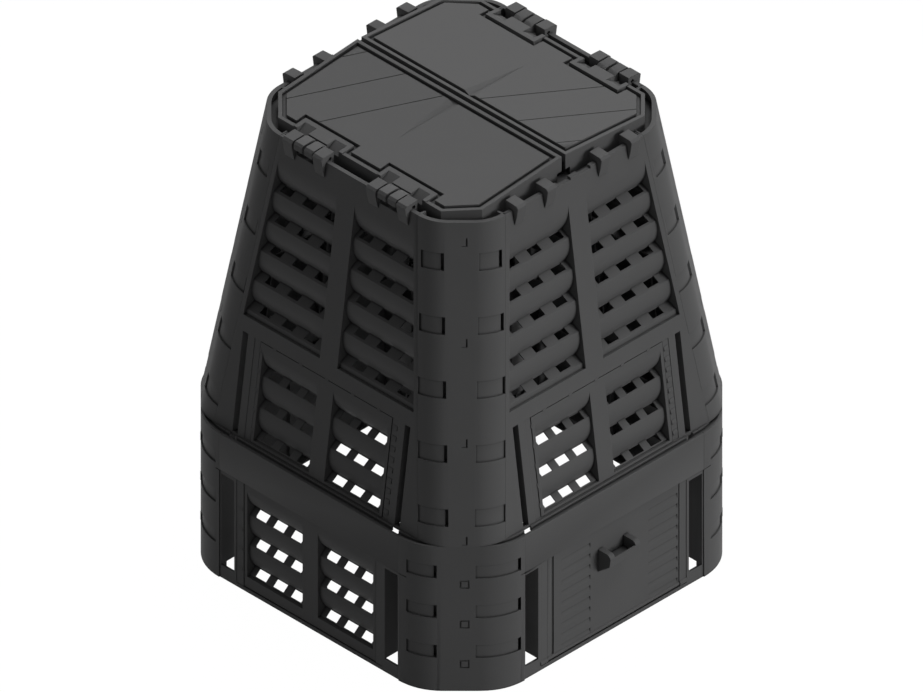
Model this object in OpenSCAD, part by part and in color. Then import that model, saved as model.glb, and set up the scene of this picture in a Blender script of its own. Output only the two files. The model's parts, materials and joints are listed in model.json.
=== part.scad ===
// Snap-together compost bin: a square base ring, a tapered upper shell with louvred walls,
// clip-in vents and hatches, and a lid of two flaps that hang from claws on the rim.
// The front is -Y. Every side is drawn at the front and turned to its place.

/* [Overall] */
// Width of the base ring across its flat sides
base_w = 800; // [740:10:860]
// Height of the base ring
base_h = 326; // [300:2:360]
// How far the upper shell stands behind the sides of the ring
shell_set = 18.7; // [15:0.1:24]
// Height of the rim above the ground
rim_h = 975; // [960:5:1000]
// Lean of the upper walls, in degrees
taper = 7.55; // [7:0.05:8]

/* [Walls] */
// Thickness of the walls
wall_t = 4; // [3:0.5:6]
// Thickness of the corner pieces
corner_t = 6; // [5:0.5:8]
// Length cut off the upper shell's corner along each side
corner_leg = 80; // [70:1:90]
// Radius beside the upper shell's corner facets
corner_r = 80; // [60:1:90]
// Radius beside the base ring's corner facets
base_corner_r = 112; // [90:1:120]
// Depth of the flanges where walls and corners meet
flange_d = 20; // [12:1:24]
// Thickness of flanges and ribs
flange_t = 3; // [2:0.5:4]
// Width of the seam between neighbouring pieces
seam = 0.3; // [0.1:0.05:0.8]

/* [Base ring] */
// Height of the smooth band round the top of the ring
band_h = 82; // [70:1:90]
// How far the walls lie behind the band
wall_set = 2; // [1:0.5:3]
// Thickness of the ledge that the upper shell stands on
ledge_t = 4; // [3:0.5:6]
// Depth of that ledge
ledge_w = 34; // [30:1:40]
// Distance of the gutter round the ledge from the ring's side and from the shell
gutter_in = 4.5; // [3:0.5:6]
// Depth of that gutter
gutter_d = 6; // [3:0.5:8]
// Thickness of the foot along the ground
foot_t = 4; // [3:0.5:8]
// Depth of the foot
foot_w = 18; // [12:1:24]
// Width of the tall slots beside the inserts
slot_w = 34; // [20:1:36]
// Height of the slots' lower end
slot_z = 29; // [24:1:40]
// Gap between the slots and the band
slot_drop = 9; // [6:1:20]
// Depth of the slots' side flanges
slot_d = 36; // [20:1:40]

/* [Inserts] */
// Width of the post between a base insert and the slot beside it
jamb_w = 24; // [20:1:40]
// Gap round an insert
insert_gap = 1.4; // [0.5:0.1:2]
// How far the base inserts lie behind the band
insert_set = 4; // [3:0.5:6]
// Thickness of an insert's face
insert_t = 4; // [3:0.5:5]
// Height of the sill under the base inserts
sill_h = 8; // [6:0.5:12]
// Width of the lip that an insert rests against
lip_w = 5; // [3:0.5:6]
// Thickness of that lip
lip_t = 3; // [2:0.5:4]
// Width of a vent's middle post
post_w = 40; // [30:1:50]
// Width of a vent's side rails
rail_w = 7; // [4:0.5:12]
// Height of a vent's top rail
head_h = 10; // [6:1:14]
// Height of a mid vent
mid_vent_h = 213; // [205:1:216]
// Height of the mid vents' lower edge above the ledge
mid_vent_lift = 3; // [2:0.5:6]
// Width of the slots beside the mid vents
mid_slot_w = 14; // [8:1:18]
// Distance of those slots from the mid vents' window
mid_slot_gap = 32; // [26:1:36]

/* [Louvres] */
// Distance from one row of louvres to the next
pitch = 67.2; // [64:0.2:70]
// Depth of the vents' louvres behind their face
vent_deep = 22; // [18:1:26]
// Depth of the upper walls' louvres behind their face
grille_deep = 25; // [20:1:30]
// Depth of a louvre's front lip
lip_depth = 7; // [5:0.5:9]
// Drop of a louvre's sloping shelf
shelf_drop = 13; // [10:0.5:16]
// Bulge of a louvre's face
bulge = 6; // [4:0.5:8]
// Thickness of a louvre
louvre_t = 3.2; // [2.4:0.1:4]
// Width of an air hole
hole_w = 28; // [20:1:30]
// Depth of an air hole
hole_d = 13.5; // [8:0.5:14]
// Distance between air holes in the vents
vent_hole_step = 46; // [42:0.5:47]
// Distance between air holes in the upper walls
grille_hole_step = 58.5; // [52:0.5:60]
// Height of the mid vents' top row of holes above the ring
mid_row_up = 156; // [152:1:160]
// Drop from the band to the base vents' top row of holes
base_row_drop = 61.4; // [58:0.2:64]

/* [Upper grille] */
// Height of the grille's lower edge above the ring
grille_up = 249; // [244:1:264]
// Drop from the rim to the grille's upper edge
grille_drop = 52; // [45:1:60]
// Drop from the rim to the top row of air holes
grille_row_drop = 110.5; // [105:0.5:117]
// Width of the post between the two columns
grille_post_w = 46; // [36:1:56]
// Distance from the grille's outer edge to the corner of the shell
grille_margin = 125.5; // [120:0.5:135]

/* [Hatch] */
// Radius of the hatch's pivot pins
hatch_pin_r = 3; // [2:0.25:3.5]
// Length of the pivot pins
hatch_pin_l = 13; // [8:1:15]
// Height of the pivot above the ground
hatch_pivot_z = 14.5; // [14:0.5:18]
// Width of the handle
handle_w = 78; // [64:1:90]
// How far the handle stands out
handle_out = 33; // [26:1:36]
// Drop from the hatch's upper edge to the handle's top
handle_drop = 46; // [38:1:58]
// Width of the finger scoop
scoop_w = 54; // [45:1:58]
// Distance from the handle to the blocks of fine slats
slat_clear = 37; // [30:1:60]
// Width of the plain edge outside those blocks
slat_edge = 20; // [18:1:30]
// Distance from one slat to the next
slat_step = 24; // [20:1:25]

/* [Lid] */
// Distance from the lid's edge to the outside of the rim
lid_set = 28.3; // [27:0.1:32]
// Length cut off the lid's corners along each side
lid_leg = 54; // [44:1:64]
// Height of the ridge above the rim
ridge_rise = 31; // [29:0.5:36]
// Fall of each flap from the ridge to its edge
lid_fall = 20.5; // [17:0.5:22]
// Gap between the two flaps
split_gap = 10; // [4:0.5:12]
// Thickness of the lid's top
lid_t = 3.5; // [3:0.25:5]
// Thickness of the lid's skirt
skirt_t = 4; // [3:0.5:5]
// Depth of the ledge that carries the lid, below the rim
seat_drop = 21; // [20.5:0.5:24]
// Distance of the groove round each panel from the lid's edge
groove_inset = 7.5; // [5:0.5:10]
// Width of that groove
groove_w = 8.5; // [4:0.5:10]
// Depth of that groove
groove_d = 7; // [3:0.5:8]

/* [Hinges] */
// Place of a pair of claws, as a share of half the lid's width
pair_share = 0.41; // [0.39:0.005:0.42]
// Distance between the two claws of a pair
claw_span = 78.7; // [74:0.5:80]
// Width of a claw
claw_w = 24; // [18:1:26]
// Radius of the hinge bars
bar_r = 4; // [3:0.25:5]
// Radial clearance of every pivot
run_gap = 0.05; // [0.02:0.01:0.08]
// Width of a knuckle on the lid
knuckle_w = 21; // [16:0.5:21]
// Gap between the two knuckles of a pair
knuckle_gap = 6; // [4:0.5:8]

/* [Hidden] */

$fn = 48;
over = 1;            // overrun of every cut
sink = 0.5;          // how far one part of a moulding runs into the next
quarter = 90;
arc_steps = 8;
black = [0.2, 0.2, 0.21];

half = base_w / 2;
shell_half = half - shell_set;
lean = tan(taper);
function half_at(z) = shell_half - lean * (z - base_h);
rim_half = half_at(rim_h);
slope_l = (rim_h - base_h) / cos(taper);
function along(z) = (z - base_h) / cos(taper);

// Corner sections. The upper corners lean along their diagonal, so a square cut across one is
// a little shallower than its plan, by this share.
corner_tilt = atan(lean * sqrt(2));
tilt_share = cos(corner_tilt);
base_leg = corner_leg + 2 * shell_set;
corner_land = 2;     // flat strip between a corner's round and its seam
edge_share = sqrt(1 + sin(taper) * sin(taper));

function side_angle(share) = atan(share);
function facet_b(leg, share) = leg / sqrt(2) * share;
function end_reach(leg, r, share) =
    facet_b(leg, share) / sin(side_angle(share)) + r * tan(side_angle(share) / 2) + corner_land;
function at_edge(reach, d, share) =
    let (g = side_angle(share)) [reach * cos(g) - d * sin(g), reach * sin(g) + d * cos(g)];
function half_line(leg, r, share, reach, d) =
    let (g = side_angle(share), f = facet_b(leg, share), c = [f / tan(g) - r * tan(g / 2), f + r])
    concat([for (i = [0 : arc_steps]) let (a = g * i / arc_steps) c + (r - d) * [sin(a), -cos(a)]],
           [at_edge(reach, d, share)]);
function flip(points) = [for (i = [len(points) - 1 : -1 : 0]) [-points[i].x, points[i].y]];
function back(points) = [for (i = [len(points) - 1 : -1 : 0]) points[i]];
function full_line(leg, r, share, reach, d) =
    let (h = half_line(leg, r, share, reach, d)) concat(flip(h), h);

base_reach = end_reach(base_leg, base_corner_r, 1);
base_flat = half - base_reach;
plan_reach = end_reach(corner_leg, corner_r, 1);
shell_reach = end_reach(corner_leg, corner_r, tilt_share);
function seam_u(s) = shell_half - s * sin(taper) - shell_reach * edge_share;

band_z = base_h - band_h;
gutter_w = shell_set - 2 * gutter_in;
gutter_low = base_h - gutter_d - ledge_t;
slot_top = band_z - slot_drop;
slot_out = base_flat - seam / 2 - flange_t;
slot_in = slot_out - slot_w;
window_half = slot_in - jamb_w;
insert_half = window_half - insert_gap;
mid_slot_u = window_half + mid_slot_gap + mid_slot_w / 2;
frame_w = 18;        // width of the shallow frame beside an insert
frame_sink = 1;      // depth of that frame
band_line_h = 2;     // groove along the lower edge of the smooth band
band_line_d = 1.5;

// Snap pockets in the corner pieces, with a slit at their right-hand end and a blind box behind it
pocket_d = 3.5;
slit_w = 5.5;
catch_d = 14;        // depth of the slit into its box
catch_t = 2;
base_pocket_h = 29;
base_pocket_z = 89;
base_pocket_step = 90;
left_pocket_in = 46;
left_pocket_w = 56;
right_pocket_in = 26;
right_pocket_w = 84;
shell_pocket_h = 36;
shell_pocket_up = 68;
shell_pocket_step = 128;
shell_pocket_in = 24.5;
shell_pocket_drift = 2;      // how much closer together a pocket's ends are than in the row below
shell_pocket_out = 88;
shell_pocket_narrowing = 3.3;

// Marks on the corner facets: a stud below each pocket, and ticks at shares of the shell's height
mark_at = 5.5;
stud_w = 12;
stud_out = 0.6;
stud_ring = 3;
stud_ring_d = 1.5;
stud_below = 28;
tick_shares = [0.034, 0.335, 0.644, 0.955];
tick_w = 11;
tick_h = 17;
tick_d = 1.2;
tick_gap_w = 3;

// Louvres
step_in = 2.4;       // how far a bulge ends short of the shelf's inner edge
step_z = 3.4;
louvre_sag = 0.6;
face_top_sag = 6;
wave_steps = 8;
hole_edge = 0.5;
hole_margin = 5;     // least distance from a hole to the end of its louvre
grille_z = base_h + grille_up;
grille_top = rim_h - grille_drop;
grille_row_z = rim_h - grille_row_drop;

// Rim, claws and hinge line
rim_lip = 9;
rim_t = 8;
seat_t = 4;
seat_in = 12;        // how far the lid's ledge runs in under the skirt
lid_half = rim_half - lid_set;
lid_w = 2 * lid_half;
pair_u = pair_share * lid_half;
lid_edge_z = rim_h + ridge_rise - lid_fall;
ridge_z = rim_h + ridge_rise;
lid_slope = atan(lid_fall / lid_half);
seat_z = rim_h - seat_drop;
hinge_out = 19;      // distance of the hinge line from the lid's edge
hinge_half = lid_half + hinge_out;
hinge_z = rim_h + 3;
notch_drop = 19.5;
rim_recess_in = 10;
rim_recess_end = 16; // distance from the recess to the claw beside it
rim_recess_d = 5;

// Claw outline, measured from the hinge line
claw_in = 10;
claw_top = 12;
claw_fall = 1.5;     // fall of its top towards the outside
claw_foot = 12;
claw_arm = 17.5;
claw_out = 22.5;
claw_heel = 19.5;
claw_heel_drop = 14;
claw_tip_out = 14.5;
claw_tip_drop = 34;
claw_tip_w = 1.5;
claw_throat = 10.5;

// Lid details
knuckle_top = 11;
knuckle_out = 20;
knuckle_under = 10;
knuckle_chamfer = 5;
pad_half = 63;
pad_d = 32;
pad_rise = 1.5;
ramp_l = 22.5;       // ramps in the pads, beside the claws
ramp_w = 30;
ramp_drop = 12;
form_t = 3;          // wall left under grooves, ramps and spikes
spike_l = 155;
spike_w = 28;
spike_d = 7;
score_angle = -30;
score_y = 17;
score_step = 100;
scores = 3;
score_w = 2;
score_d = 1.3;
lid_rib_h = 8;
lid_rib_shares = [-0.71, -0.17, 0.17, 0.71];
end_notch_l = 12;    // notch at each end of the split
end_notch_h = 18;
split_rib_h = 20;    // height of the rib along the split
flap_l = (lid_half - split_gap / 2) / cos(lid_slope);

// Hatch
hatch_pivot_d = insert_set + insert_t / 2;
barrel_r = 4.5;
boss_r = 6;
hatch_top_gap = 1;
hatch_top = band_z - hatch_top_gap;
handle_z = hatch_top - handle_drop;
handle_root = 51;    // height of the handle along the panel
handle_lean = 3;
handle_front_h = 17;
handle_shoulder = 10;
scoop_h = 24;
scoop_wall = 3;
scoop_lip_drop = 8;  // how far the scoop's front wall lies below the handle's shoulders
slat_z = 30;
slat_h = 12;
slat_d = 2.6;
slat_shift = 17;     // the blocks lie off the middle by this
channel_w = 6;
channel_d = 2.6;
stiffener_u = 60;
stiffener_d = 6;
ledge_hole_w = 18;
ledge_hole_d = 7;

module side(i) rotate([0, 0, i * quarter]) children();

// A flat outline, width and height, made a slab that starts some depth behind the face.
module slab(depth, t) translate([0, depth + t, 0]) rotate([90, 0, 0]) linear_extrude(t) children();

module box2(u0, u1, z0, z1) translate([u0, z0]) square([u1 - u0, z1 - z0]);

module mirrored() for (m = [0, 1]) mirror([m, 0, 0]) children();

// A bar along the width of a side, with its section given as depth and height.
module run_u(u0, u1) translate([u0, 0, 0]) rotate([90, 0, 90]) linear_extrude(u1 - u0) children();

module band_section(leg, r, share, reach, d0, d1)
    polygon(concat(full_line(leg, r, share, reach, d0), back(full_line(leg, r, share, reach, d1))));

module end_flanges(reach, share, d)
    mirrored() polygon([at_edge(reach, 0, share), at_edge(reach, d, share),
                        at_edge(reach - flange_t, d, share), at_edge(reach - flange_t, 0, share)]);

// The window's jamb and the lip behind it, open from z0 to z1.
module window_frame(z0, z1, depth, face_t, head) {
    lip_depth_in = depth + face_t + seam;
    slab(depth, face_t + seam + lip_t) difference() {
        box2(-window_half - flange_t, window_half + flange_t, z0, z1 + (head ? flange_t : 0));
        box2(-window_half, window_half, z0 - over, z1);
    }
    slab(lip_depth_in, lip_t) difference() {
        box2(-window_half, window_half, z0, z1);
        box2(-window_half + lip_w, window_half - lip_w, z0 - over, z1 - lip_w);
    }
}

// Base ring

module base_wall(bored) {
    edge = base_flat - seam / 2;
    color(black) translate([0, -half, 0]) difference() {
        union() {
            difference() {
                slab(wall_set, wall_t) difference() {
                    box2(-edge, edge, 0, base_h);
                    box2(-window_half, window_half, sill_h, band_z);
                }
                slab(wall_set - over, over + frame_sink)
                    box2(-window_half - frame_w, window_half + frame_w, sill_h, band_z - flange_t);
            }
            slab(0, wall_set + wall_t) box2(-edge, edge, band_z, base_h);
            translate([-edge, 0, base_h - ledge_t]) cube([2 * edge, ledge_w, ledge_t]);
            translate([-edge, 0, gutter_low])
                cube([2 * edge, gutter_in + gutter_w + ledge_t, gutter_d + ledge_t]);
            translate([-edge, wall_set, 0]) cube([2 * edge, foot_w, foot_t]);
            mirrored() {
                slab(wall_set, slot_d) box2(slot_out, edge, slot_z, base_h);
                slab(wall_set, slot_d) box2(slot_in - flange_t, slot_in, slot_z, slot_top + flange_t);
                slab(wall_set, slot_d) box2(slot_in, slot_out, slot_top, slot_top + flange_t);
            }
            window_frame(hatch_pivot_z + boss_r + over, band_z, insert_set, insert_t, true);
            if (bored)
                mirrored() translate([window_half, hatch_pivot_d, hatch_pivot_z])
                    rotate([0, quarter, 0]) cylinder(r = boss_r, h = frame_w);
        }
        translate([-edge - over, gutter_in, base_h - gutter_d])
            cube([2 * (edge + over), gutter_w, gutter_d + over]);
        translate([-edge - over, wall_set - over, band_z - band_line_h])
            cube([2 * (edge + over), over + band_line_d, band_line_h]);
        mirrored() {
            slab(-over, slot_d) box2(slot_in, slot_out, slot_z, slot_top);
            translate([mid_slot_u - ledge_hole_w / 2, shell_set - ledge_hole_d, gutter_low - over])
                cube([ledge_hole_w, ledge_hole_d, gutter_d + ledge_t + 2 * over]);
            if (bored)
                translate([window_half - over, hatch_pivot_d, hatch_pivot_z]) rotate([0, quarter, 0])
                    cylinder(r = hatch_pin_r + run_gap, h = frame_w + 2 * over);
        }
    }
}

// A slice of the corner between two places across it, two depths and two heights.
module corner_slice(leg, r, share, reach, a, d, z)
    translate([0, 0, z[0]]) linear_extrude(z[1] - z[0]) intersection() {
        band_section(leg, r, share, reach, d[0], d[1]);
        translate([a[0], 0]) square([a[1] - a[0], reach]);
    }

// A pocket from a0 to a1 across the corner, with its slit.
module pocket_cut(leg, r, share, reach, a0, a1, z, h)
    for (cut = [[a0, pocket_d], [a1 - slit_w, catch_d]])
        corner_slice(leg, r, share, reach + over, [cut[0], a1], [-over, cut[1]], [z - h / 2, z + h / 2]);

// The box that closes that slit from behind.
module catch_box(leg, r, share, reach, a1, z, h)
    corner_slice(leg, r, share, reach, [a1 - slit_w - catch_t, a1 + catch_t],
                 [corner_t / 2, catch_d + catch_t], [z - h / 2 - catch_t, z + h / 2 + catch_t]);

module base_corner() {
    reach = base_reach - seam / 2;
    facet = facet_b(base_leg, 1);
    last = floor((base_h - ledge_t - base_pocket_h / 2 - base_pocket_z) / base_pocket_step);
    rows = [for (i = [0 : last]) base_pocket_z + i * base_pocket_step];
    spans = [[-left_pocket_in - left_pocket_w, -left_pocket_in],
             [right_pocket_in, right_pocket_in + right_pocket_w]];
    color(black) translate([-half, -half, 0]) rotate([0, 0, -45]) difference() {
        union() {
            linear_extrude(base_h) band_section(base_leg, base_corner_r, 1, reach, 0, corner_t);
            linear_extrude(foot_t) band_section(base_leg, base_corner_r, 1, reach, 0, foot_w + wall_set);
            linear_extrude(base_h) end_flanges(reach, 1, flange_d);
            translate([0, 0, base_h - ledge_t]) linear_extrude(ledge_t)
                band_section(base_leg, base_corner_r, 1, reach, 0, ledge_w);
            translate([0, 0, gutter_low]) linear_extrude(gutter_d + ledge_t)
                band_section(base_leg, base_corner_r, 1, reach, 0, gutter_in + gutter_w + ledge_t);
            for (z = rows)
                translate([mark_at - stud_w / 2, facet - stud_out, z - stud_below - stud_w / 2])
                    cube([stud_w, stud_out + corner_t / 2, stud_w]);
            for (z = rows, p = spans)
                catch_box(base_leg, base_corner_r, 1, base_reach, p[1], z, base_pocket_h);
        }
        translate([0, 0, base_h - gutter_d]) linear_extrude(gutter_d + over)
            band_section(base_leg, base_corner_r, 1, reach + over, gutter_in, gutter_in + gutter_w);
        for (z = rows, p = spans)
            pocket_cut(base_leg, base_corner_r, 1, base_reach, p[0], p[1], z, base_pocket_h);
        for (a = [[-base_reach, spans[0][0]], [spans[1][1], base_reach]])
            corner_slice(base_leg, base_corner_r, 1, reach + over, a, [-over, band_line_d],
                         [band_z - band_line_h, band_z]);
        for (z = rows)
            translate([mark_at, facet - over, z - stud_below]) rotate([-quarter, 0, 0])
                linear_extrude(over + stud_ring_d) difference() {
                    square(stud_w + 2 * stud_ring, center = true);
                    square(stud_w, center = true);
                }
    }
}

// Upper shell

// A side's leaning frame: width, depth behind the face, and height along the slope.
module lean_frame() translate([0, -shell_half, base_h]) rotate([-taper, 0, 0]) children();

module between_levels()
    intersection() {
        children();
        translate([-half, -half, base_h]) cube([base_w, base_w, rim_h - base_h]);
    }

function wave_bulge(a, b, sag) =
    let (d = b - a, n = [d.y, -d.x] / norm(d))
    [for (i = [0 : wave_steps]) let (f = i / wave_steps) a + d * f + n * sag * 4 * f * (1 - f)];
function wave_line(top, bottom, first, rows, deep) =
    concat(wave_bulge([0, top], [deep - step_in, first + step_z], face_top_sag),
           [for (r = [0 : rows - 1]) let (z = first - r * pitch)
               each concat([[deep, z]],
                           r < rows - 1
                               ? wave_bulge([lip_depth, z - shelf_drop],
                                            [deep - step_in, z - pitch + step_z], bulge)
                               : [[lip_depth, z - shelf_drop],
                                  [lip_depth, min(bottom, z - shelf_drop - over)]])]);

function rows_above(low, first) = 1 + floor((first - low - shelf_drop - 2 * over) / pitch);
function last_hole(w, step) = floor((w - hole_w - 2 * hole_margin) / step);

// One column of louvres, between u0 and u1. Each row's holes are spread within its span.
module louvres(u0, u1, top, bottom, first, deep, spans, step) {
    rows = len(spans);
    line = wave_line(top, bottom, first, rows, deep);
    difference() {
        run_u(u0, u1) polygon(concat(line, back([for (p = line) p + [louvre_t, -louvre_sag]])));
        for (r = [0 : rows - 1])
            let (last = last_hole(spans[r][1] - spans[r][0], step),
                 start = (spans[r][0] + spans[r][1] - last * step - hole_w) / 2)
                for (h = [0 : last])
                    translate([start + h * step, deep - hole_d, first - r * pitch - shelf_drop - over])
                        cube([hole_w, hole_d + hole_edge, shelf_drop + over + hole_edge]);
    }
}

function grille_out(s) = shell_half - s * sin(taper) - grille_margin;
module grille_column(grow) {
    s0 = along(grille_z) - grow;
    s1 = along(grille_top) + grow;
    polygon([[grille_post_w / 2 - grow, s0], [grille_out(s0) + grow, s0],
             [grille_out(s1) + grow, s1], [grille_post_w / 2 - grow, s1]]);
}

// An arm over the rim, and a pointed finger that hangs from it outside the wall.
module claw_outline()
    polygon([[claw_in, -claw_foot], [claw_in, claw_top], [-claw_arm, claw_top - claw_fall],
             [-claw_out, claw_top / 2], [-claw_heel, -claw_heel_drop], [-claw_tip_out, -claw_tip_drop],
             [claw_tip_w - claw_tip_out, (-claw_foot - claw_tip_drop) / 2], [-claw_throat, -claw_foot]]);

// Section in depth and height about the hinge line. Depth runs inwards from the hinge.
module at_hinge() translate([0, -hinge_half, hinge_z]) children();

module claws(bored)
    for (m = [-1, 1], k = [-1, 1]) {
        u = m * pair_u + k * claw_span / 2;
        at_hinge() difference() {
            run_u(u - claw_w / 2, u + claw_w / 2) claw_outline();
            if (bored)
                translate([u - claw_w / 2 - over, 0, 0]) rotate([0, quarter, 0])
                    cylinder(r = bar_r + run_gap, h = claw_w + 2 * over);
        }
    }

module upper_wall(hinged) {
    vent_s = mid_vent_lift - insert_gap;
    vent_top = mid_vent_lift + mid_vent_h + insert_gap;
    seat_half = half_at(seat_z) - plan_reach - seam;
    first = along(grille_row_z);
    spans = [for (r = [0 : rows_above(along(grille_z), first) - 1])
                 [grille_post_w / 2, grille_out(first - r * pitch)]];
    recess_w = pair_u - (claw_span + claw_w) / 2 - rim_recess_in - rim_recess_end;
    color(black) difference() {
        union() {
            between_levels() lean_frame() union() {
                slab(0, wall_t) difference() {
                    wall_face(seam / 2);
                    box2(-window_half, window_half, vent_s, vent_top);
                    mirrored() grille_column(0);
                }
                slab(0, rim_lip) intersection() {
                    wall_face(seam / 2);
                    box2(-shell_half, shell_half, slope_l - rim_t, slope_l + over);
                }
                slab(0, flange_d) difference() {
                    wall_face(seam / 2);
                    wall_face(seam / 2 + flange_t);
                }
                slab(0, grille_deep + louvre_t) mirrored() difference() {
                    grille_column(flange_t);
                    grille_column(0);
                }
                mirrored() intersection() {
                    slab(-over, grille_deep + 2 * louvre_t) grille_column(sink);
                    louvres(0, shell_half, along(grille_top) + sink, along(grille_z) - sink, first,
                            grille_deep, spans, grille_hole_step);
                }
                window_frame(vent_s, vent_top, 0, insert_t, true);
                mirrored() slab(0, flange_d) difference() {
                    box2(mid_slot_u - mid_slot_w / 2 - flange_t, mid_slot_u + mid_slot_w / 2 + flange_t,
                         0, vent_top + flange_t);
                    box2(mid_slot_u - mid_slot_w / 2, mid_slot_u + mid_slot_w / 2, -over, vent_top);
                }
            }
            translate([-seat_half, -half_at(seat_z) + wall_t / 2, seat_z - seat_t])
                cube([2 * seat_half, half_at(seat_z) - wall_t / 2 - lid_half + seat_in, seat_t]);
            claws(hinged);
        }
        lean_frame() mirrored() {
            slab(-over, flange_d)
                box2(mid_slot_u - mid_slot_w / 2, mid_slot_u + mid_slot_w / 2, mid_vent_lift, vent_top);
            slab(-over, over + frame_sink)
                box2(window_half, window_half + frame_w - flange_t, mid_vent_lift, vent_top);
        }
        if (hinged)
            for (m = [-1, 1])
                translate([m * pair_u - (claw_span - claw_w) / 2, -rim_half - rim_lip, rim_h - notch_drop])
                    cube([claw_span - claw_w, 3 * rim_lip, notch_drop + over]);
        else
            mirrored() translate([rim_recess_in, -rim_half - rim_lip, rim_h - rim_recess_d])
                cube([recess_w, 2 * rim_lip + over, rim_recess_d + over]);
    }
}

module wall_face(inset)
    polygon([for (e = [[-1, -over], [1, -over], [1, slope_l + over], [-1, slope_l + over]])
             [e[0] * (seam_u(e[1]) - inset * edge_share), e[1]]]);

module upper_corner() {
    reach = shell_reach - seam / 2;
    shaft = (rim_h - base_h) / tilt_share;
    facet = facet_b(corner_leg, tilt_share);
    seat_far = half_at(seat_z) - lid_half + seat_in;
    low = base_h + shell_pocket_up;
    last = floor((rim_h - rim_t - shell_pocket_h / 2 - low) / shell_pocket_step);
    pockets = [for (i = [0 : last])
                   let (a0 = shell_pocket_in + i * shell_pocket_drift,
                        a1 = shell_pocket_out - i * shell_pocket_narrowing)
                   for (span = [[-a1, -a0], [a0, a1]])
                       [span, (low - base_h + i * shell_pocket_step) / tilt_share]];
    color(black) {
        difference() {
            intersection() {
                corner_frame() union() {
                    translate([0, 0, -shell_half / 2]) linear_extrude(shaft + shell_half) {
                        band_section(corner_leg, corner_r, tilt_share, reach, 0, corner_t);
                        end_flanges(reach, tilt_share, flange_d);
                    }
                    translate([0, 0, shaft - rim_t]) linear_extrude(shell_half)
                        band_section(corner_leg, corner_r, tilt_share, reach - flange_t / 2, 0, rim_lip);
                    for (p = pockets)
                        catch_box(corner_leg, corner_r, tilt_share, reach, p[0][1], p[1], shell_pocket_h);
                }
                translate([-half, -half, base_h]) cube([base_w, base_w, rim_h - base_h]);
            }
            corner_frame() {
                for (p = pockets)
                    pocket_cut(corner_leg, corner_r, tilt_share, shell_reach, p[0][0], p[0][1], p[1],
                               shell_pocket_h);
                for (share = tick_shares)
                    translate([mark_at, facet, share * shaft]) {
                        translate([tick_w / 2 - tick_gap_w, -over, -tick_h / 2])
                            cube([tick_gap_w, over + 2 * tick_d, tick_h]);
                        translate([-tick_w / 2, -over, -tick_h / 2]) cube([tick_w, over + tick_d, tick_d]);
                    }
            }
        }
        translate([-half_at(seat_z), -half_at(seat_z), seat_z - seat_t]) rotate([0, 0, -45])
            linear_extrude(seat_t)
                band_section(corner_leg, corner_r, 1, plan_reach - seam, corner_t / 2, seat_far);
    }
}

module corner_frame()
    translate([-shell_half, -shell_half, base_h]) rotate([0, 0, -45]) rotate([-corner_tilt, 0, 0]) children();

// Inserts

module vent(z0, z1, first) {
    top = z1 - head_h;
    rows = rows_above(z0, first);
    bottom = first - (rows - 1) * pitch - shelf_drop - 2 * over;
    inner = post_w / 2;
    outer = insert_half - rail_w;
    slab(0, insert_t) difference() {
        box2(-insert_half, insert_half, z0, z1);
        mirrored() box2(inner, outer, bottom, top);
    }
    slab(0, vent_deep + louvre_t) mirrored() difference() {
        box2(inner - flange_t, outer + flange_t, bottom, top + flange_t);
        box2(inner, outer, bottom - over, top);
    }
    slab(0, lip_depth + louvre_t) mirrored()
        box2(inner - flange_t, outer + flange_t, bottom - flange_t, bottom);
    mirrored() louvres(inner - sink, outer + sink, top + sink, bottom - sink, first, vent_deep,
                       [for (r = [1 : rows]) [inner, outer]], vent_hole_step);
}

module mid_vent()
    color(black) lean_frame()
        vent(mid_vent_lift, mid_vent_lift + mid_vent_h, along(base_h + mid_row_up));

module base_vent()
    color(black) translate([0, -half + insert_set, 0])
        vent(sill_h + insert_gap, hatch_top, band_z - base_row_drop);

module hatch() {
    face = insert_set + sink;
    front = insert_set - handle_out;
    inner = handle_w / 2 + slat_clear;
    outer = insert_half - slat_edge;
    last_slat = floor((hatch_top - lip_w - slat_z) / slat_step);
    color(black) translate([0, -half, 0]) {
        difference() {
            slab(insert_set, insert_t) box2(-insert_half, insert_half, hatch_pivot_z, hatch_top);
            for (m = [-1, 1], i = [0 : last_slat])
                translate([slat_shift + m * (inner + outer) / 2, 0, slat_z + i * slat_step])
                    run_u((inner - outer) / 2, (outer - inner) / 2)
                        polygon([[insert_set - over, 0], [insert_set + slat_d, 0], [insert_set, -slat_h],
                                 [insert_set - over, -slat_h]]);
            slab(insert_set - over, over + channel_d)
                box2(slat_shift - insert_half - channel_w, slat_shift - insert_half,
                     slat_z - slat_h, hatch_top + over);
        }
        translate([-insert_half, hatch_pivot_d, hatch_pivot_z]) rotate([0, quarter, 0])
            cylinder(r = barrel_r, h = 2 * insert_half);
        translate([-insert_half - hatch_pin_l, hatch_pivot_d, hatch_pivot_z]) rotate([0, quarter, 0])
            cylinder(r = hatch_pin_r, h = 2 * (insert_half + hatch_pin_l));
        mirrored() slab(insert_set + insert_t - sink, stiffener_d + sink)
            box2(stiffener_u, stiffener_u + flange_t, hatch_pivot_z + 2 * barrel_r,
                 hatch_top - lip_w - barrel_r);
        difference() {
            run_u(-handle_w / 2, handle_w / 2)
                polygon(concat([[face, handle_z]],
                               [for (i = [0 : arc_steps]) let (a = quarter * i / arc_steps)
                                   [front, handle_z] + handle_shoulder * [1 - sin(a), cos(a) - 1]],
                               [[front + handle_lean, handle_z - handle_shoulder - handle_front_h],
                                [face, handle_z - handle_root]]));
            for (cut = [[front - over, scoop_lip_drop], [front + scoop_wall, scoop_h]])
                translate([-scoop_w / 2, cut[0], handle_z - cut[1]])
                    cube([scoop_w, insert_set - cut[0], cut[1] + over]);
        }
    }
}

// Lid. The left flap is drawn; the right one is the same, turned half round.

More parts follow.
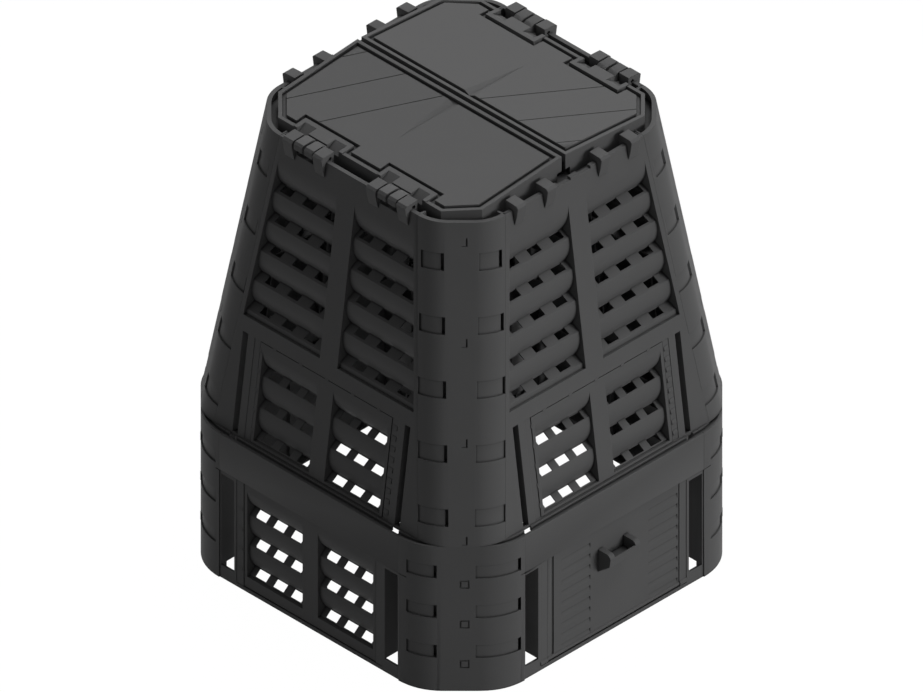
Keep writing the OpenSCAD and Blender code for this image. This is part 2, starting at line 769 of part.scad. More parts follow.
module flap_plan(inset) {
    h = lid_half - inset;
    leg = lid_leg - inset * (2 - sqrt(2));
    in = split_gap / 2 + inset;
    polygon([[-in, -h], [-h + leg, -h], [-h, -h + leg], [-h, h - leg], [-h + leg, h], [-in, h]]);
}

module flap_solid(inset, drop, low)
    intersection() {
        translate([0, 0, low]) linear_extrude(ridge_z - low) flap_plan(inset);
        rotate([90, 0, 0]) linear_extrude(2 * lid_w, center = true)
            polygon([[-lid_w, low], [0, low], [0, ridge_z - drop],
                     [-lid_w, ridge_z - drop - lid_w * lid_fall / lid_half]]);
    }

// The flap's own frame: x runs up the slope from the hinge edge, z stands off its top face.
module on_flap() translate([-lid_half, 0, lid_edge_z]) rotate([0, -lid_slope, 0]) children();

module flap_face(inset) {
    h = lid_half - inset;
    leg = lid_leg - inset * (2 - sqrt(2));
    polygon([[flap_l - inset, -h], [inset + leg, -h], [inset, -h + leg], [inset, h - leg],
             [inset + leg, h], [flap_l - inset, h]]);
}

module panel_face(inset, pad_grow)
    difference() {
        flap_face(inset);
        for (m = [-1, 1])
            translate([-over, m * pair_u - pad_half - pad_grow])
                square([over + pad_d + pad_grow, 2 * (pad_half + pad_grow)]);
    }

// A layer of the flap between two depths below its top face.
module flap_layer(d0, d1) translate([0, 0, -d1]) linear_extrude(d1 - d0) children();

// A V that starts as a point in the panel and sinks towards the split.
module spike()
    translate([flap_l - groove_inset - spike_l, 0, 0]) rotate([0, atan(spike_d / spike_l), 0])
        run_u(0, 2 * spike_l) polygon([[0, 0], [spike_w, 2 * spike_d], [-spike_w, 2 * spike_d]]);

module at_claws() for (m = [-1, 1], k = [-1, 1]) translate([0, m * pair_u + k * claw_span / 2, 0]) children();

module flap() {
    low = seat_z + seam;
    color(black) difference() {
        union() {
            difference() {
                flap_solid(0, 0, low);
                flap_solid(skirt_t, lid_t, low - over);
            }
            intersection() {
                flap_solid(sink, sink, lid_edge_z - lid_t - lid_rib_h);
                for (share = lid_rib_shares)
                    translate([-lid_half, share * lid_half - flange_t / 2, lid_edge_z - lid_t - lid_rib_h])
                        cube([lid_half, flange_t, lid_w]);
            }
            on_flap() {
                for (m = [-1, 1])
                    translate([sink, m * pair_u - pad_half, -sink])
                        cube([pad_d - sink, 2 * pad_half, sink + pad_rise]);
                flap_layer(sink, groove_d + form_t) difference() {
                    panel_face(groove_inset - form_t, -form_t);
                    panel_face(groove_inset + groove_w + form_t, groove_w + form_t);
                }
                intersection() {
                    translate([0, 0, -form_t]) spike();
                    flap_layer(sink, spike_d + form_t) flap_face(groove_inset);
                }
                at_claws() rotate([90, 0, 0]) linear_extrude(ramp_w + 2 * form_t, center = true)
                    polygon([[sink, -sink], [sink, -ramp_drop - form_t], [ramp_l, -form_t],
                             [ramp_l + form_t, -sink]]);
            }
            side(3) at_hinge() for (m = [-1, 1]) {
                for (k = [-1, 1]) {
                    u = m * pair_u + k * (knuckle_gap + knuckle_w) / 2;
                    run_u(u - knuckle_w / 2, u + knuckle_w / 2)
                        polygon([[hinge_out + sink, knuckle_top - knuckle_chamfer], [claw_in, knuckle_top],
                                 [-knuckle_out + knuckle_chamfer, knuckle_top],
                                 [-knuckle_out, knuckle_top - knuckle_chamfer],
                                 [-knuckle_out, -knuckle_chamfer],
                                 [-knuckle_out + knuckle_chamfer, -knuckle_under],
                                 [knuckle_chamfer, -knuckle_under], [hinge_out + sink, -knuckle_chamfer]]);
                }
                bar = claw_span + claw_w - 2 * over;
                translate([m * pair_u - bar / 2, 0, 0]) rotate([0, quarter, 0]) cylinder(r = bar_r, h = bar);
            }
        }
        on_flap() {
            flap_layer(-over, groove_d) difference() {
                panel_face(groove_inset, 0);
                panel_face(groove_inset + groove_w, groove_w);
            }
            intersection() {
                spike();
                flap_layer(-over, spike_d) flap_face(groove_inset);
            }
            flap_layer(-over, score_d) intersection() {
                panel_face(groove_inset + groove_w, groove_w);
                translate([0, spike_w / 4]) square([flap_l, lid_half]);
                for (i = [0 : scores - 1])
                    translate([flap_l, score_y + i * score_step]) rotate(score_angle)
                        translate([-lid_w, 0]) square([2 * lid_w, score_w]);
            }
            at_claws() translate([ramp_l, 0, pad_rise]) rotate([0, -atan(ramp_drop / ramp_l), 0])
                translate([-2 * ramp_l, -ramp_w / 2, 0]) cube([2 * ramp_l, ramp_w, ramp_l]);
        }
        for (m = [-1, 1])
            translate([-split_gap / 2 - end_notch_l, m * (lid_half - skirt_t / 2) - skirt_t, low - over])
                cube([end_notch_l + over, 2 * skirt_t, end_notch_h + over]);
        translate([-split_gap / 2 - 2 * skirt_t, -lid_half + skirt_t, low - over])
            cube([2 * skirt_t + over, lid_w - 2 * skirt_t, ridge_z - split_rib_h - low + over]);
    }
}

side(0) base_wall(true);  // base_wall_front
side(1) base_wall(false);  // base_wall_right
side(2) base_wall(true);  // base_wall_rear
side(3) base_wall(false);  // base_wall_left
side(0) base_corner();  // base_corner_front_left
side(1) base_corner();  // base_corner_front_right
side(2) base_corner();  // base_corner_rear_right
side(3) base_corner();  // base_corner_rear_left
side(0) upper_wall(false);  // upper_wall_front
side(1) upper_wall(true);  // upper_wall_right
side(2) upper_wall(false);  // upper_wall_rear
side(3) upper_wall(true);  // upper_wall_left
side(0) upper_corner();  // upper_corner_front_left
side(1) upper_corner();  // upper_corner_front_right
side(2) upper_corner();  // upper_corner_rear_right
side(3) upper_corner();  // upper_corner_rear_left
side(0) mid_vent();  // mid_vent_front
side(1) mid_vent();  // mid_vent_right
side(2) mid_vent();  // mid_vent_rear
side(3) mid_vent();  // mid_vent_left
side(1) base_vent();  // base_vent_right
side(3) base_vent();  // base_vent_left
side(0) hatch();  // hatch_front
side(2) hatch();  // hatch_rear
flap();  // lid_left
side(2) flap();  // lid_right
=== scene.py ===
# Compost bin with lid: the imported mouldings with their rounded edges, snap clips and finish.
# Metres, +Z up. The side with the hatch that the picture shows is -Y.
import json
import math
import bpy
import bmesh
from mathutils import Matrix, Vector


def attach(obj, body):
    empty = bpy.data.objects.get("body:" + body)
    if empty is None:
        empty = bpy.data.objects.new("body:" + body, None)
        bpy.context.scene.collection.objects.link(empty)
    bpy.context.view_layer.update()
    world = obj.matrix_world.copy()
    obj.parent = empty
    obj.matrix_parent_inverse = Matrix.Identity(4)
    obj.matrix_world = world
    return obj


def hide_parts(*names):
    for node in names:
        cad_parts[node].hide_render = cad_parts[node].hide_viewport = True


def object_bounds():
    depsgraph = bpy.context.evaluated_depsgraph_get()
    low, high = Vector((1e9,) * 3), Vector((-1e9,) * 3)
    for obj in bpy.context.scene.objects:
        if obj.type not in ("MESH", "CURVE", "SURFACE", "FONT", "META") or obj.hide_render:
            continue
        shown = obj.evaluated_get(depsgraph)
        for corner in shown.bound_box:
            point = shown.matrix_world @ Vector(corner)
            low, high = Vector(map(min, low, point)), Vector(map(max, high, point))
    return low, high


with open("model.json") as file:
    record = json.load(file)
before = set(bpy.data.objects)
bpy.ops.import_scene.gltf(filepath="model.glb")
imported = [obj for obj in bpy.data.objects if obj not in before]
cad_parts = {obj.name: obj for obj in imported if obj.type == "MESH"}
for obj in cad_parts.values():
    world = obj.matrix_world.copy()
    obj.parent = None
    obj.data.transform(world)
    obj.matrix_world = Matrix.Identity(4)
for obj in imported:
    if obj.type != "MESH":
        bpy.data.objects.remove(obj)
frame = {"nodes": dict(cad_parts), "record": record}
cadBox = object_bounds()
print("frame loaded:", len(frame["nodes"]), "nodes")

bodyOf = {}
for bodyName, members in frame["record"]["behaviour"]["bodies"].items():
    for member in members:
        bodyOf[member] = bodyName
slotOf = {part["node"]: part["material_slot"] for part in frame["record"]["subparts"]}


# Materials: sizes and reaches in metres, scales as the noise nodes take them

finish = {"grainDetail": 3, "grainDepth": 0.0004, "flowSize": 9, "flowDetail": 4, "glossSpread": 0.06,
          "edgeSamples": 6, "edgeFrom": 1, "edgeTo": 0.75, "wearAndHighlightShare": 0.35,
          "recessSamples": 6, "shadeFrom": 0.45, "shadeTo": 0.93}


def addSocket(group, name, way, kind="NodeSocketFloat"):
    group.interface.new_socket(name=name, in_out=way, socket_type=kind)


def makeGrainGroup():
    # the mould's fine grain as a height, and the melt's slow flow marks as a mask
    group = bpy.data.node_groups.new("mouldedGrain", "ShaderNodeTree")
    addSocket(group, "Size", "INPUT")
    addSocket(group, "Height", "OUTPUT")
    addSocket(group, "Flow", "OUTPUT")
    nodes = group.nodes
    links = group.links
    groupIn = nodes.new("NodeGroupInput")
    groupOut = nodes.new("NodeGroupOutput")
    place = nodes.new("ShaderNodeTexCoord")
    grain = nodes.new("ShaderNodeTexNoise")
    grain.inputs["Detail"].default_value = finish["grainDetail"]
    links.new(place.outputs["Object"], grain.inputs["Vector"])
    links.new(groupIn.outputs["Size"], grain.inputs["Scale"])
    flow = nodes.new("ShaderNodeTexNoise")
    flow.inputs["Scale"].default_value = finish["flowSize"]
    flow.inputs["Detail"].default_value = finish["flowDetail"]
    links.new(place.outputs["Object"], flow.inputs["Vector"])
    links.new(grain.outputs["Fac"], groupOut.inputs["Height"])
    links.new(flow.outputs["Fac"], groupOut.inputs["Flow"])
    return group


def makeEdgeGroup():
    # rounded edges: their normal, and a mask of where they are
    group = bpy.data.node_groups.new("softEdge", "ShaderNodeTree")
    addSocket(group, "Radius", "INPUT")
    addSocket(group, "Normal", "OUTPUT", "NodeSocketVector")
    addSocket(group, "Mask", "OUTPUT")
    nodes = group.nodes
    links = group.links
    groupIn = nodes.new("NodeGroupInput")
    groupOut = nodes.new("NodeGroupOutput")
    rounded = nodes.new("ShaderNodeBevel")
    rounded.samples = finish["edgeSamples"]
    links.new(groupIn.outputs["Radius"], rounded.inputs["Radius"])
    surface = nodes.new("ShaderNodeNewGeometry")
    dot = nodes.new("ShaderNodeVectorMath")
    dot.operation = "DOT_PRODUCT"
    links.new(rounded.outputs["Normal"], dot.inputs[0])
    links.new(surface.outputs["Normal"], dot.inputs[1])
    edge = nodes.new("ShaderNodeMapRange")
    edge.inputs["From Min"].default_value = finish["edgeFrom"]
    edge.inputs["From Max"].default_value = finish["edgeTo"]
    links.new(dot.outputs["Value"], edge.inputs["Value"])
    links.new(rounded.outputs["Normal"], groupOut.inputs["Normal"])
    links.new(edge.outputs["Result"], groupOut.inputs["Mask"])
    return group


def makeRecessGroup():
    # painted shade: how open a spot is, so that the colour darkens in seams, grooves and slats
    group = bpy.data.node_groups.new("recessShade", "ShaderNodeTree")
    addSocket(group, "Reach", "INPUT")
    addSocket(group, "Least", "INPUT")
    addSocket(group, "Shade", "OUTPUT")
    nodes = group.nodes
    links = group.links
    groupIn = nodes.new("NodeGroupInput")
    groupOut = nodes.new("NodeGroupOutput")
    openness = nodes.new("ShaderNodeAmbientOcclusion")
    openness.samples = finish["recessSamples"]
    links.new(groupIn.outputs["Reach"], openness.inputs["Distance"])
    shade = nodes.new("ShaderNodeMapRange")
    shade.inputs["From Min"].default_value = finish["shadeFrom"]
    shade.inputs["From Max"].default_value = finish["shadeTo"]
    links.new(openness.outputs["AO"], shade.inputs["Value"])
    links.new(groupIn.outputs["Least"], shade.inputs["To Min"])
    links.new(shade.outputs["Result"], groupOut.inputs["Shade"])
    return group


grainGroup = makeGrainGroup()
edgeGroup = makeEdgeGroup()
recessGroup = makeRecessGroup()

# the edges' lighter colour is partly wear and partly painted highlight; recess and leastShade set how far and
# how deep the painted shade in hollows goes
ringPlastic = {"dark": (0.098, 0.098, 0.099, 1), "light": (0.118, 0.118, 0.119, 1),
               "wearAndHighlight": (0.17, 0.17, 0.17, 1), "roughness": 0.62, "specular": 0.12,
               "grainSize": 1400, "bump": 0.25, "edge": 0.0011, "recess": 0.005, "leastShade": 0.4}
shellPlastic = dict(ringPlastic, grainSize=1300)
insertPlastic = dict(ringPlastic, roughness=0.65, edge=0.0009)
lidPlastic = dict(ringPlastic, dark=(0.103, 0.103, 0.104, 1), light=(0.122, 0.122, 0.123, 1), edge=0.0013)


def makePlastic(name, look):
    material = bpy.data.materials.new(name)
    material.use_nodes = True
    nodes = material.node_tree.nodes
    links = material.node_tree.links
    shader = nodes["Principled BSDF"]
    shader.inputs["Specular IOR Level"].default_value = look["specular"]
    grain = nodes.new("ShaderNodeGroup")
    grain.node_tree = grainGroup
    grain.inputs["Size"].default_value = look["grainSize"]
    edge = nodes.new("ShaderNodeGroup")
    edge.node_tree = edgeGroup
    edge.inputs["Radius"].default_value = look["edge"]
    flowColour = nodes.new("ShaderNodeMix")
    flowColour.data_type = "RGBA"
    flowColour.inputs["A"].default_value = look["dark"]
    flowColour.inputs["B"].default_value = look["light"]
    links.new(grain.outputs["Flow"], flowColour.inputs["Factor"])
    # painted highlight with some wear: the edges, hollow ones too, are mixed towards a lighter colour
    wearAndHighlightMix = nodes.new("ShaderNodeMath")
    wearAndHighlightMix.operation = "MULTIPLY"
    wearAndHighlightMix.inputs[1].default_value = finish["wearAndHighlightShare"]
    links.new(edge.outputs["Mask"], wearAndHighlightMix.inputs[0])
    wearAndHighlightColour = nodes.new("ShaderNodeMix")
    wearAndHighlightColour.data_type = "RGBA"
    wearAndHighlightColour.inputs["B"].default_value = look["wearAndHighlight"]
    links.new(wearAndHighlightMix.outputs[0], wearAndHighlightColour.inputs["Factor"])
    links.new(flowColour.outputs["Result"], wearAndHighlightColour.inputs["A"])
    # painted shade: the colour is darkened where a spot is hollow, in seams, grooves and slats
    recess = nodes.new("ShaderNodeGroup")
    recess.node_tree = recessGroup
    recess.inputs["Reach"].default_value = look["recess"]
    recess.inputs["Least"].default_value = look["leastShade"]
    shaded = nodes.new("ShaderNodeVectorMath")
    shaded.operation = "SCALE"
    links.new(wearAndHighlightColour.outputs["Result"], shaded.inputs[0])
    links.new(recess.outputs["Shade"], shaded.inputs["Scale"])
    links.new(shaded.outputs["Vector"], shader.inputs["Base Color"])
    gloss = nodes.new("ShaderNodeMapRange")
    gloss.inputs["To Min"].default_value = look["roughness"] - finish["glossSpread"]
    gloss.inputs["To Max"].default_value = look["roughness"] + finish["glossSpread"]
    links.new(grain.outputs["Flow"], gloss.inputs["Value"])
    links.new(gloss.outputs["Result"], shader.inputs["Roughness"])
    bump = nodes.new("ShaderNodeBump")
    bump.inputs["Strength"].default_value = look["bump"]
    bump.inputs["Distance"].default_value = finish["grainDepth"]
    links.new(grain.outputs["Height"], bump.inputs["Height"])
    links.new(edge.outputs["Normal"], bump.inputs["Normal"])
    links.new(bump.outputs["Normal"], shader.inputs["Normal"])
    return material


plastics = {
    "ring_plastic": makePlastic("ringPlastic", ringPlastic),
    "shell_plastic": makePlastic("shellPlastic", shellPlastic),
    "insert_plastic": makePlastic("insertPlastic", insertPlastic),
    "lid_plastic": makePlastic("lidPlastic", lidPlastic),
}
for nodeName, node in frame["nodes"].items():
    node.data.materials.clear()
    node.data.materials.append(plastics[slotOf[nodeName]])
print("materials made:", len(plastics))


# Working with mouldings: lengths in metres, turns and corners in degrees

rounding = {"merge": 0.00002, "flatLimits": (0.4, 0.1, 0.9, 1.6, 0.02), "torn": 0.00001,
            "gentle": 11.7, "steep": 32, "inZone": 28,
            "shortShare": 2.5, "thinShare": 2.6, "leastCorner": 35,
            "steps": 2, "radiusShares": (1, 0.6, 0.3, 0)}


def pick(piece):
    if bpy.context.mode != "OBJECT":
        bpy.ops.object.mode_set(mode="OBJECT")
    bpy.ops.object.select_all(action="DESELECT")
    piece.select_set(True)
    bpy.context.view_layer.objects.active = piece


def openForEdit(piece, kind="EDGE"):
    pick(piece)
    bpy.ops.object.mode_set(mode="EDIT")
    bpy.ops.mesh.select_mode(type=kind)
    bpy.ops.mesh.select_all(action="DESELECT")
    return bmesh.from_edit_mesh(piece.data)


def tornArea(mesh):
    # the most that a many-sided face's triangles overlap, in square metres: 0 in a sound mesh
    mesh.calc_loop_triangles()
    cut = [0.0] * len(mesh.polygons)
    for triangle in mesh.loop_triangles:
        cut[triangle.polygon_index] += triangle.area
    return max(abs(cut[face.index] - face.area) for face in mesh.polygons)


def copyMoulding(nodeName):
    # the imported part's mesh, merged and with its flat faces joined, ready for its rounded edges
    piece = bpy.data.objects.new(nodeName + "_moulding", frame["nodes"][nodeName].data.copy())
    bpy.context.scene.collection.objects.link(piece)
    openForEdit(piece)
    bpy.ops.mesh.select_all(action="SELECT")
    bpy.ops.mesh.remove_doubles(threshold=rounding["merge"])
    bpy.ops.object.mode_set(mode="OBJECT")
    plain = piece.data
    for limit in rounding["flatLimits"]:
        piece.data = plain.copy()
        openForEdit(piece)
        bpy.ops.mesh.select_all(action="SELECT")
        bpy.ops.mesh.dissolve_limited(angle_limit=math.radians(limit))
        markBreaks(piece)
        bpy.ops.object.mode_set(mode="OBJECT")
        if tornArea(piece.data) < rounding["torn"]:
            break
    return piece


def turnOf(edge):
    return math.degrees(abs(edge.calc_face_angle_signed())) if len(edge.link_faces) == 2 else 0


def markBreaks(piece):
    # gentle breaks, as at the slats, stay crisp; the facets of arcs turn less than that
    bpy.ops.mesh.select_all(action="DESELECT")
    mesh = bmesh.from_edit_mesh(piece.data)
    for edge in mesh.edges:
        if rounding["gentle"] < turnOf(edge) <= rounding["steep"]:
            edge.select_set(True)
    bmesh.update_edit_mesh(piece.data)
    bpy.ops.mesh.mark_sharp()


def roundEdges(piece, inZone, radius, steps):
    # rounds the outward edges whose two ends lie in the zone, and says how many they are
    least = math.radians(rounding["inZone"])
    mesh = openForEdit(piece)
    chosen = 0
    for edge in mesh.edges:
        if len(edge.link_faces) != 2 or edge.calc_face_angle_signed() < least:
            continue
        if all(inZone(vert.co) for vert in edge.verts):
            edge.select_set(True)
            chosen += 1
    bmesh.update_edit_mesh(piece.data)
    if chosen:
        bpy.ops.mesh.bevel(offset=radius, segments=steps, clamp_overlap=True)
    bpy.ops.object.mode_set(mode="OBJECT")
    return chosen


def roomy(vert, radius):
    # a point with edges about as short as the radius, or with a narrow corner, has no room to be rounded
    if any(edge.calc_length() < rounding["shortShare"] * radius for edge in vert.link_edges):
        return False
    return all(loop.calc_angle() > math.radians(rounding["leastCorner"]) for loop in vert.link_loops)


def slender(face, radius):
    # twice the area by the perimeter is about a strip's width
    return 2 * face.calc_area() < rounding["thinShare"] * radius * face.calc_perimeter()


def bevelSteep(piece, radius):
    # rounds the steep outward edges; the inward ones, and the few that have no room for it, stay sharp
    mesh = openForEdit(piece)
    steep = [edge for edge in mesh.edges if turnOf(edge) > rounding["steep"]]
    hollow = {edge for edge in steep if edge.calc_face_angle_signed() < 0}
    room = {vert: roomy(vert, radius) for edge in steep for vert in edge.verts}
    tight = {face for edge in steep for face in edge.link_faces if slender(face, radius)}
    for edge in steep:
        fits = all(room[vert] for vert in edge.verts) and tight.isdisjoint(edge.link_faces)
        edge.select_set(radius == 0 or not fits or edge in hollow)
    bmesh.update_edit_mesh(piece.data)
    bpy.ops.mesh.mark_sharp()
    bpy.ops.mesh.select_all(action="DESELECT")
    mesh = bmesh.from_edit_mesh(piece.data)
    for edge in mesh.edges:
        edge.select_set(turnOf(edge) > rounding["steep"] and edge.smooth)
    bmesh.update_edit_mesh(piece.data)
    if radius:
        bpy.ops.mesh.bevel(offset=radius, segments=rounding["steps"], clamp_overlap=False)
    bpy.ops.object.mode_set(mode="OBJECT")


def softenAll(piece, radius):
    # the small radius that every edge of a moulding has, smaller where a full one would tear a face
    plain = piece.data.copy()
    for share in rounding["radiusShares"]:
        piece.data = plain.copy()
        bevelSteep(piece, share * radius)
        if tornArea(piece.data) < rounding["torn"]:
            break
    bpy.ops.object.shade_smooth()
    flats = piece.modifiers.new("flats", "WEIGHTED_NORMAL")
    flats.keep_sharp = True
    bpy.ops.object.modifier_apply(modifier="flats")


def seatMoulding(piece, nodeName):
    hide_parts(nodeName)
    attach(piece, bodyOf[nodeName])


def nodesNamed(*starts):
    return [name for name in frame["nodes"] if name.startswith(starts)]


def outward(point):
    # distance from the middle of the bin, square to the nearest side
    return max(abs(point.x), abs(point.y))


# Base ring

baseRing = {"nodes": nodesNamed("base_wall", "base_corner"), "edge": 0.00035,
            "lip": 0.0012, "lipSteps": 3, "top": 0.326, "slack": 0.0002}


def makeBaseRing():
    def onTopLip(point):
        return point.z > baseRing["top"] - baseRing["slack"]

    for nodeName in baseRing["nodes"]:
        piece = copyMoulding(nodeName)
        roundEdges(piece, onTopLip, baseRing["lip"], baseRing["lipSteps"])
        softenAll(piece, baseRing["edge"])
        seatMoulding(piece, nodeName)
    print("base ring:", len(baseRing["nodes"]), "mouldings")


makeBaseRing()

# Upper shell with its claws

upperShell = {"nodes": nodesNamed("upper_"), "edge": 0.0003,
              "claw": 0.0014, "clawSteps": 3, "clawFoot": 0.94,
              "rim": 0.975, "rimHalf": 0.29528, "lean": 0.13254, "over": 0.0003, "off": 0.0006}


def makeUpperShell():
    def onClaw(point):
        # over the rim, or off the wall's leaning face
        below = upperShell["rim"] - point.z
        face = upperShell["rimHalf"] + upperShell["lean"] * below
        off = point.z > upperShell["clawFoot"] and outward(point) > face + upperShell["off"]
        return off or point.z > upperShell["rim"] + upperShell["over"]

    for nodeName in upperShell["nodes"]:
        piece = copyMoulding(nodeName)
        if "wall" in nodeName:
            roundEdges(piece, onClaw, upperShell["claw"], upperShell["clawSteps"])
        softenAll(piece, upperShell["edge"])
        seatMoulding(piece, nodeName)
    print("upper shell:", len(upperShell["nodes"]), "mouldings")


makeUpperShell()

# Vents

vents = {"nodes": nodesNamed("mid_vent", "base_vent"), "edge": 0.0005}


def makeVents():
    for nodeName in vents["nodes"]:
        piece = copyMoulding(nodeName)
        softenAll(piece, vents["edge"])
        seatMoulding(piece, nodeName)
    print("vents:", len(vents["nodes"]), "mouldings")


makeVents()

# Hatches: the handle has two round shoulders with the finger scoop between them

hatch = {"nodes": nodesNamed("hatch_"), "edge": 0.0005, "shoulder": 0.0042, "shoulderSteps": 5,
         "face": 0.396, "half": 0.039, "lip": 0.189, "foot": 0.146,
         "slack": 0.0001, "over": 0.0003, "under": 0.002}


def makeHatches():
    def onShoulder(point):
        # the handle's two ends, and all of it above the scoop's lip
        wide = abs(point.x)
        onHandle = abs(point.y) > hatch["face"] - hatch["slack"] and wide < hatch["half"] + hatch["slack"]
        atEnd = wide > hatch["half"] - hatch["slack"] and point.z > hatch["foot"] - hatch["under"]
        return onHandle and (atEnd or point.z > hatch["lip"] + hatch["over"])

    shoulderEdges = 0
    for nodeName in hatch["nodes"]:
        piece = copyMoulding(nodeName)
        shoulderEdges += roundEdges(piece, onShoulder, hatch["shoulder"], hatch["shoulderSteps"])
        softenAll(piece, hatch["edge"])
        seatMoulding(piece, nodeName)
    print("hatches:", len(hatch["nodes"]), "mouldings,", shoulderEdges, "edges at the handles' shoulders")


makeHatches()

# Lid flaps with their knuckles

lid = {"nodes": nodesNamed("lid_"), "edge": 0.0005, "knuckle": 0.0018, "knuckleSteps": 3,
       "half": 0.26698, "off": 0.001}


def makeLid():
    def onKnuckle(point):
        return abs(point.x) > lid["half"] + lid["off"]

    for nodeName in lid["nodes"]:
        piece = copyMoulding(nodeName)
        roundEdges(piece, onKnuckle, lid["knuckle"], lid["knuckleSteps"])
        softenAll(piece, lid["edge"])
        seatMoulding(piece, nodeName)
    print("lid:", len(lid["nodes"]), "flaps")


makeLid()

# Snap clips: a column of hooks beside each vent, and tabs that bridge the seams of the mid vents.
# A place is across the wall, off its face and up along it, from the middle of the wall's foot.
# The base ring is square, so its front face lies as far out as its left one.

sideOf = {"front": 0, "right": 1, "rear": 2, "left": 3}
shellHeight = upperShell["rim"] - baseRing["top"]
shellHalf = upperShell["rimHalf"] + upperShell["lean"] * shellHeight
leaning = (Matrix.Translation((0, -shellHalf, baseRing["top"]))
           @ Matrix.Rotation(-math.atan(upperShell["lean"]), 4, "X"))
upright = Matrix.Translation((0, cadBox[0][0], 0))
midClips = {"on": "mid_vent", "wall": leaning,
            "size": (0.0118, 0.0024, 0.0095), "hollow": 0.0022, "slope": 0.0012, "edge": 0.0004,
            "place": (0.1806, 0.0003, 0.019), "step": (0, 0, 0.0225), "count": 9}
seamTabs = {"on": "mid_vent", "wall": leaning,
            "size": (0.0095, 0.0018, 0.0052), "hollow": 0.0012, "slope": 0.0006, "edge": 0.0003,
            "place": (-0.136, 0.0001, 0.2167), "step": (0.068, 0, 0), "count": 5}
sideTabs = {"on": "mid_vent", "wall": leaning,
            "size": (0.0052, 0.0018, 0.0095), "hollow": 0.0012, "slope": 0.0006, "edge": 0.0003,
            "place": (-0.171, 0.0001, 0.028), "step": (0, 0, 0.0425), "count": 5}
baseClips = {"on": "base_vent", "wall": upright,
             "size": (0.0118, 0.0024, 0.011), "hollow": 0.0024, "slope": 0.0012, "edge": 0.0004,
             "place": (-0.1812, 0.0031, 0.048), "step": (0, 0, 0.045), "count": 4}
hook = {"steps": 2, "depthShare": 0.35, "topShare": 0.3, "smooth": 50}


def modelClip(name, look):
    bpy.ops.mesh.primitive_cube_add(size=1)
    clip = bpy.context.active_object
    clip.name = name
    openForEdit(clip, "FACE")
    bpy.ops.mesh.select_all(action="SELECT")
    bpy.ops.transform.resize(value=look["size"])
    bpy.ops.mesh.bevel(offset=look["edge"], segments=hook["steps"])
    bpy.ops.mesh.select_all(action="DESELECT")
    mesh = bmesh.from_edit_mesh(clip.data)
    mesh.faces.ensure_lookup_table()
    front = min(mesh.faces, key=lambda face: face.calc_center_median().y - face.calc_area())
    front.select_set(True)
    bmesh.update_edit_mesh(clip.data)
    bpy.ops.mesh.inset(thickness=look["hollow"])
    bpy.ops.transform.translate(value=(0, look["size"][1] * hook["depthShare"], 0))    # the hook's hollow
    bpy.ops.mesh.select_all(action="DESELECT")
    mesh = bmesh.from_edit_mesh(clip.data)
    for vert in mesh.verts:
        if vert.co.y < 0 and vert.co.z > look["size"][2] * hook["topShare"]:
            vert.select_set(True)
    mesh.select_flush(True)
    bmesh.update_edit_mesh(clip.data)
    bpy.ops.transform.translate(value=(0, look["slope"], 0))    # its top leans back
    bpy.ops.mesh.select_all(action="SELECT")
    bpy.ops.transform.translate(value=look["place"])
    bpy.ops.object.mode_set(mode="OBJECT")
    row = clip.modifiers.new("row", "ARRAY")
    row.count = look["count"]
    row.use_relative_offset = False
    row.use_constant_offset = True
    row.constant_offset_displace = look["step"]
    bpy.ops.object.modifier_apply(modifier="row")
    bpy.ops.object.shade_smooth_by_angle(angle=math.radians(hook["smooth"]))
    clip.data.transform(look["wall"])
    return clip


def placeClips(title, look):
    # one row is modelled at the front, and each vent gets its own copy, turned to its side
    pattern = modelClip(title, look)
    places = [side for side in sideOf if look["on"] + "_" + side in frame["nodes"]]
    for side in places:
        row = pattern.copy()
        row.data = pattern.data.copy()
        row.name = title + "_" + side
        row.data.transform(Matrix.Rotation(math.radians(90 * sideOf[side]), 4, "Z"))
        bpy.context.scene.collection.objects.link(row)
        row.data.materials.clear()
        row.data.materials.append(plastics["insert_plastic"])
        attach(row, "shell")
    pick(pattern)
    bpy.ops.object.delete()
    print(title + ":", look["count"] * len(places), "in", len(places), "rows")


placeClips("midClips", midClips)
placeClips("seamTabs", seamTabs)
placeClips("sideTabs", sideTabs)
placeClips("baseClips", baseClips)

# Floor, light and camera

stage = {"size": 14, "drop": 0.0005, "colour": (0.2, 0.2, 0.2, 1), "roughness": 0.9,
         "glow": 0.95, "white": 1.05}


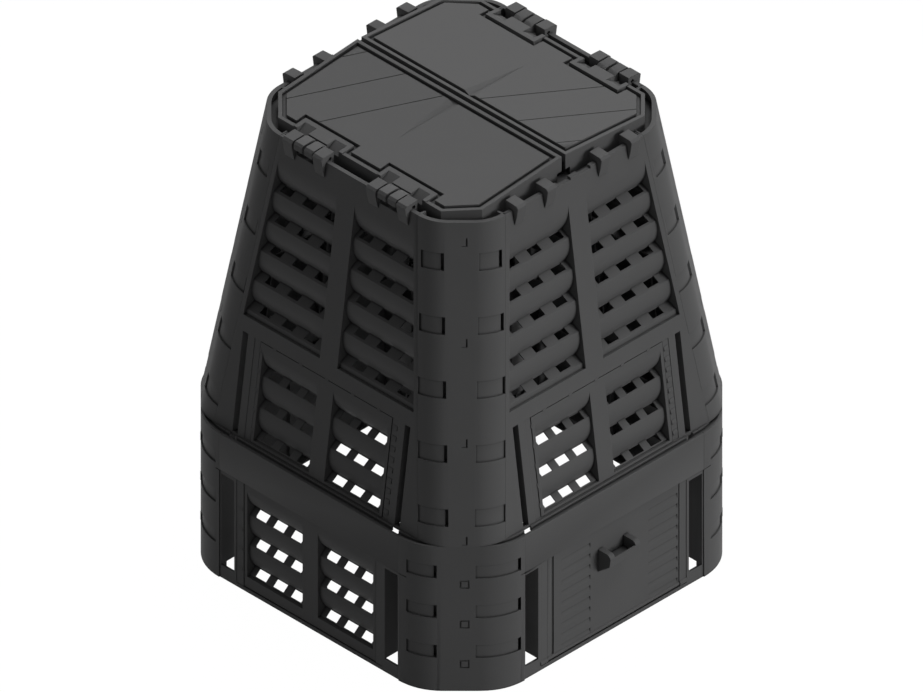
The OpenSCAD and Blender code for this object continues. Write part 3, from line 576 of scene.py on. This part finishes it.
def makeFloor():
    # dull grey paint for the light, near white to the camera and in what mirrors it
    bpy.ops.mesh.primitive_plane_add(size=stage["size"], location=(0, 0, -stage["drop"]))
    floor = bpy.context.active_object
    floor.name = "floor"
    material = bpy.data.materials.new("floorPaint")
    material.use_nodes = True
    nodes = material.node_tree.nodes
    links = material.node_tree.links
    shader = nodes["Principled BSDF"]
    shader.inputs["Base Color"].default_value = stage["colour"]
    shader.inputs["Roughness"].default_value = stage["roughness"]
    glow = nodes.new("ShaderNodeEmission")
    glow.inputs["Strength"].default_value = stage["white"]
    ray = nodes.new("ShaderNodeLightPath")
    share = nodes.new("ShaderNodeMath")
    share.operation = "MULTIPLY"
    share.inputs[1].default_value = stage["glow"]
    mix = nodes.new("ShaderNodeMixShader")
    mirrored = nodes.new("ShaderNodeMath")
    mirrored.operation = "MAXIMUM"
    links.new(ray.outputs["Is Glossy Ray"], mirrored.inputs[0])
    links.new(ray.outputs["Is Transmission Ray"], mirrored.inputs[1])
    seen = nodes.new("ShaderNodeMath")
    seen.operation = "MAXIMUM"
    links.new(ray.outputs["Is Camera Ray"], seen.inputs[0])
    links.new(mirrored.outputs[0], seen.inputs[1])
    links.new(seen.outputs[0], share.inputs[0])
    links.new(share.outputs[0], mix.inputs["Fac"])
    links.new(shader.outputs[0], mix.inputs[1])
    links.new(glow.outputs[0], mix.inputs[2])
    links.new(mix.outputs[0], nodes["Material Output"].inputs["Surface"])
    floor.data.materials.append(material)


makeFloor()

light = {"world": 0.14,
         "highSun": {"energy": 1.08, "tilt": 22, "turn": 80, "spread": 40},
         "backSun": {"energy": 1.25, "tilt": 62, "turn": 135, "spread": 50},
         "frontSun": {"energy": 1.35, "tilt": 76, "turn": 20, "spread": 26},
         "sideSun": {"energy": 0.11, "tilt": 80, "turn": -125, "spread": 40}}


def addSun(name):
    # tilt leans it from straight above towards -Y, and turn carries that on towards +X
    look = light[name]
    bpy.ops.object.light_add(type="SUN", rotation=(math.radians(look["tilt"]), 0, math.radians(look["turn"])))
    sun = bpy.context.active_object
    sun.name = name
    sun.data.energy = look["energy"]
    sun.data.angle = math.radians(look["spread"])


def makeLights():
    world = bpy.data.worlds.new("studio")
    bpy.context.scene.world = world
    world.use_nodes = True
    background = world.node_tree.nodes["Background"]
    background.inputs["Color"].default_value = (1, 1, 1, 1)
    background.inputs["Strength"].default_value = light["world"]
    addSun("highSun")
    addSun("backSun")
    addSun("frontSun")
    addSun("sideSun")


makeLights()

view = {"azimuth": -45, "elevation": 35.264, "aim": (0, 0, 0.4405),
        "distance": 6, "reach": 40, "span": 1.7079}


def makeCamera():
    azimuth = math.radians(view["azimuth"])
    elevation = math.radians(view["elevation"])
    flat = math.cos(elevation)
    towards = Vector((math.sin(azimuth) * flat, -math.cos(azimuth) * flat, math.sin(elevation)))
    bpy.ops.object.camera_add(location=Vector(view["aim"]) + view["distance"] * towards)
    camera = bpy.context.active_object
    camera.rotation_euler = towards.to_track_quat("Z", "Y").to_euler()
    camera.data.type = "ORTHO"
    camera.data.ortho_scale = view["span"]
    camera.data.clip_end = view["reach"]
    bpy.context.scene.camera = camera


makeCamera()
bpy.context.scene.view_settings.view_transform = "Standard"
print("floor, light and camera set")
